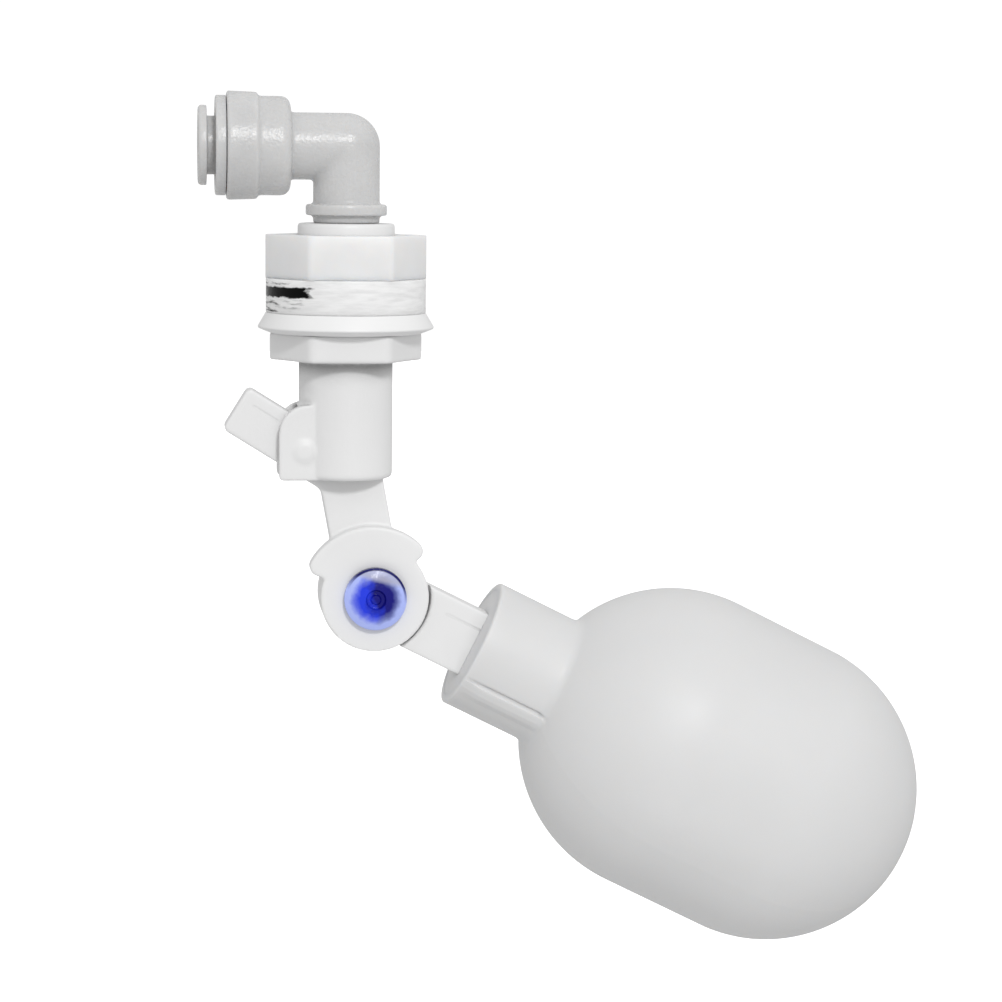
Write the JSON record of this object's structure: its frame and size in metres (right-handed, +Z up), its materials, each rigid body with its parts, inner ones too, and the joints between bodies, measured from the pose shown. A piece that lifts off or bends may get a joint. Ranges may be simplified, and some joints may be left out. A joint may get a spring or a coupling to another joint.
{
  "type": "float valve",
  "caption": "Side-inlet tank float valve with push-in elbow, threaded clamp, lever and hollow float on an adjustable arm.",
  "frame": {"origin": "stem axis at the top face of the body's hexagonal flange, where the tank wall is clamped", "axes": "+Z up along the threaded stem, +X towards the float, +Y away from the joint screw's head"},
  "size_m": [0.1006, 0.0428, 0.1176],
  "materials": {
    "body_white": "satin moulded white plastic",
    "arm_white": "satin moulded white plastic",
    "nut_natural": "translucent natural plastic",
    "silicone_clear": "glossy clear silicone",
    "silicone_white": "satin white silicone",
    "acetal_grey": "glossy off-white acetal",
    "float_white": "satin blow-moulded plastic",
    "screw_blue": "translucent blue plastic",
    "black_rubber": "smooth black rubber",
    "stainless": "stamped stainless steel"
  },
  "bodies": {
    "body": {"valve_body": "body_white", "lock_nut": "nut_natural", "clear_gasket": "silicone_clear", "flared_gasket": "silicone_white", "pivot_pin": "body_white"},
    "elbow": {"elbow_body": "acetal_grey", "collet_cap": "acetal_grey", "grip_ring": "stainless", "tube_o_ring": "black_rubber", "stem_o_ring": "black_rubber"},
    "collet": {"collet": "acetal_grey"},
    "plunger": {"plunger": "acetal_grey", "seal_pad": "black_rubber"},
    "lever": {"lever_arm": "arm_white"},
    "float_arm": {"float_arm": "arm_white", "joint_nut": "nut_natural", "neck_plug": "float_white", "float_shell": "float_white"},
    "joint_screw": {"joint_screw": "screw_blue"}
  },
  "joints": [
    {"name": "elbow_swivel", "type": "hinge", "parent": "body", "child": "elbow", "pos_m": [0, 0, 0.015], "axis": [0, 0, 1], "continuous": true},
    {"name": "collet_press", "type": "slide", "parent": "elbow", "child": "collet", "axis": [1, 0, 0], "range_m": [0, 0.001]},
    {"name": "lever_pivot", "type": "hinge", "parent": "body", "child": "lever", "pos_m": [-0.0058, 0, -0.0158], "axis": [0, -1, 0], "range_deg": [0, 4]},
    {"name": "plunger_slide", "type": "slide", "parent": "body", "child": "plunger", "axis": [0, 0, 1], "range_m": [0, 0.00041]},
    {"name": "arm_angle", "type": "hinge", "parent": "lever", "child": "float_arm", "pos_m": [0.00385, 0, -0.03585], "axis": [0, -1, 0], "range_deg": [-90, 28]},
    {"name": "screw_turn", "type": "hinge", "parent": "float_arm", "child": "joint_screw", "pos_m": [0.00385, 0, -0.03585], "axis": [0, -1, 0], "continuous": true}
  ],
  "couplings": [
    {"joint": "plunger_slide", "follows": "lever_pivot", "m_per_rad": 0.0058}
  ]
}
